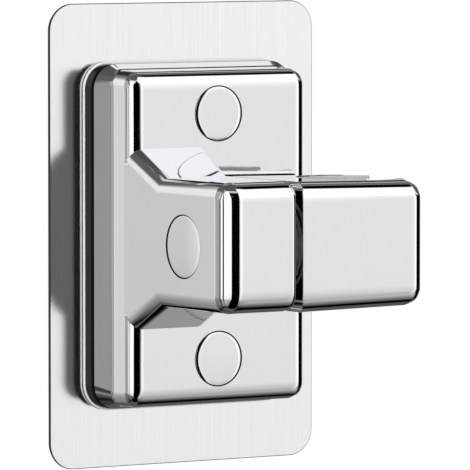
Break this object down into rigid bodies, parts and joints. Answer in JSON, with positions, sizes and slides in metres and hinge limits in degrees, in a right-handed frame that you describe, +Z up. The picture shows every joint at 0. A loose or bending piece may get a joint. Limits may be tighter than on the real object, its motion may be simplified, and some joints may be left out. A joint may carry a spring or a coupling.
{
  "type": "shower head holder",
  "caption": "Wall holder for a hand shower: a chromed arm on an adhesive steel plate, with a slotted socket block that swivels about the arm's axis.",
  "frame": {"origin": "middle of the adhesive pad's back face, which lies on the wall", "axes": "+Y into the wall, so the front faces -Y; +Z up, along the plate's long side; +X towards the socket block"},
  "size_m": [0.0842, 0.0663, 0.125],
  "materials": {
    "chrome": "mirror-bright chrome plating on moulded ABS",
    "plate_steel": "vertically brushed stainless sheet",
    "steel": "plain turned stainless steel",
    "spring_steel": "hardened spring steel",
    "brass": "turned brass",
    "dark_plastic": "dark moulded ABS",
    "acetal": "white acetal",
    "seal_rubber": "pale silicone",
    "liner_rubber": "grey soft rubber",
    "pad_foam": "adhesive foam"
  },
  "bodies": {
    "root": {"adhesive_pad": "pad_foam", "base_gasket": "seal_rubber", "body_shell": "chrome", "frame_screw_lower_left": "steel", "frame_screw_lower_right": "steel", "frame_screw_upper_left": "steel", "frame_screw_upper_right": "steel", "lower_screw_cap": "chrome", "lower_stud": "steel", "lower_stud_nut": "steel", "lower_stud_washer": "steel", "mounting_plate": "plate_steel", "pivot_bush": "acetal", "rear_frame": "dark_plastic", "side_cap": "chrome", "upper_screw_cap": "chrome", "upper_stud": "steel", "upper_stud_nut": "steel", "upper_stud_washer": "steel"},
    "socket": {"socket_block": "chrome", "socket_liner": "liner_rubber", "pivot_insert": "brass", "pivot_screw": "steel", "pivot_washer": "steel", "pivot_spring": "spring_steel", "friction_disc": "acetal"}
  },
  "joints": [
    {"name": "socket_tilt", "type": "hinge", "parent": "root", "child": "socket", "pos_m": [0, -0.0467, -0.0004], "axis": [1, 0, 0], "continuous": true}
  ]
}
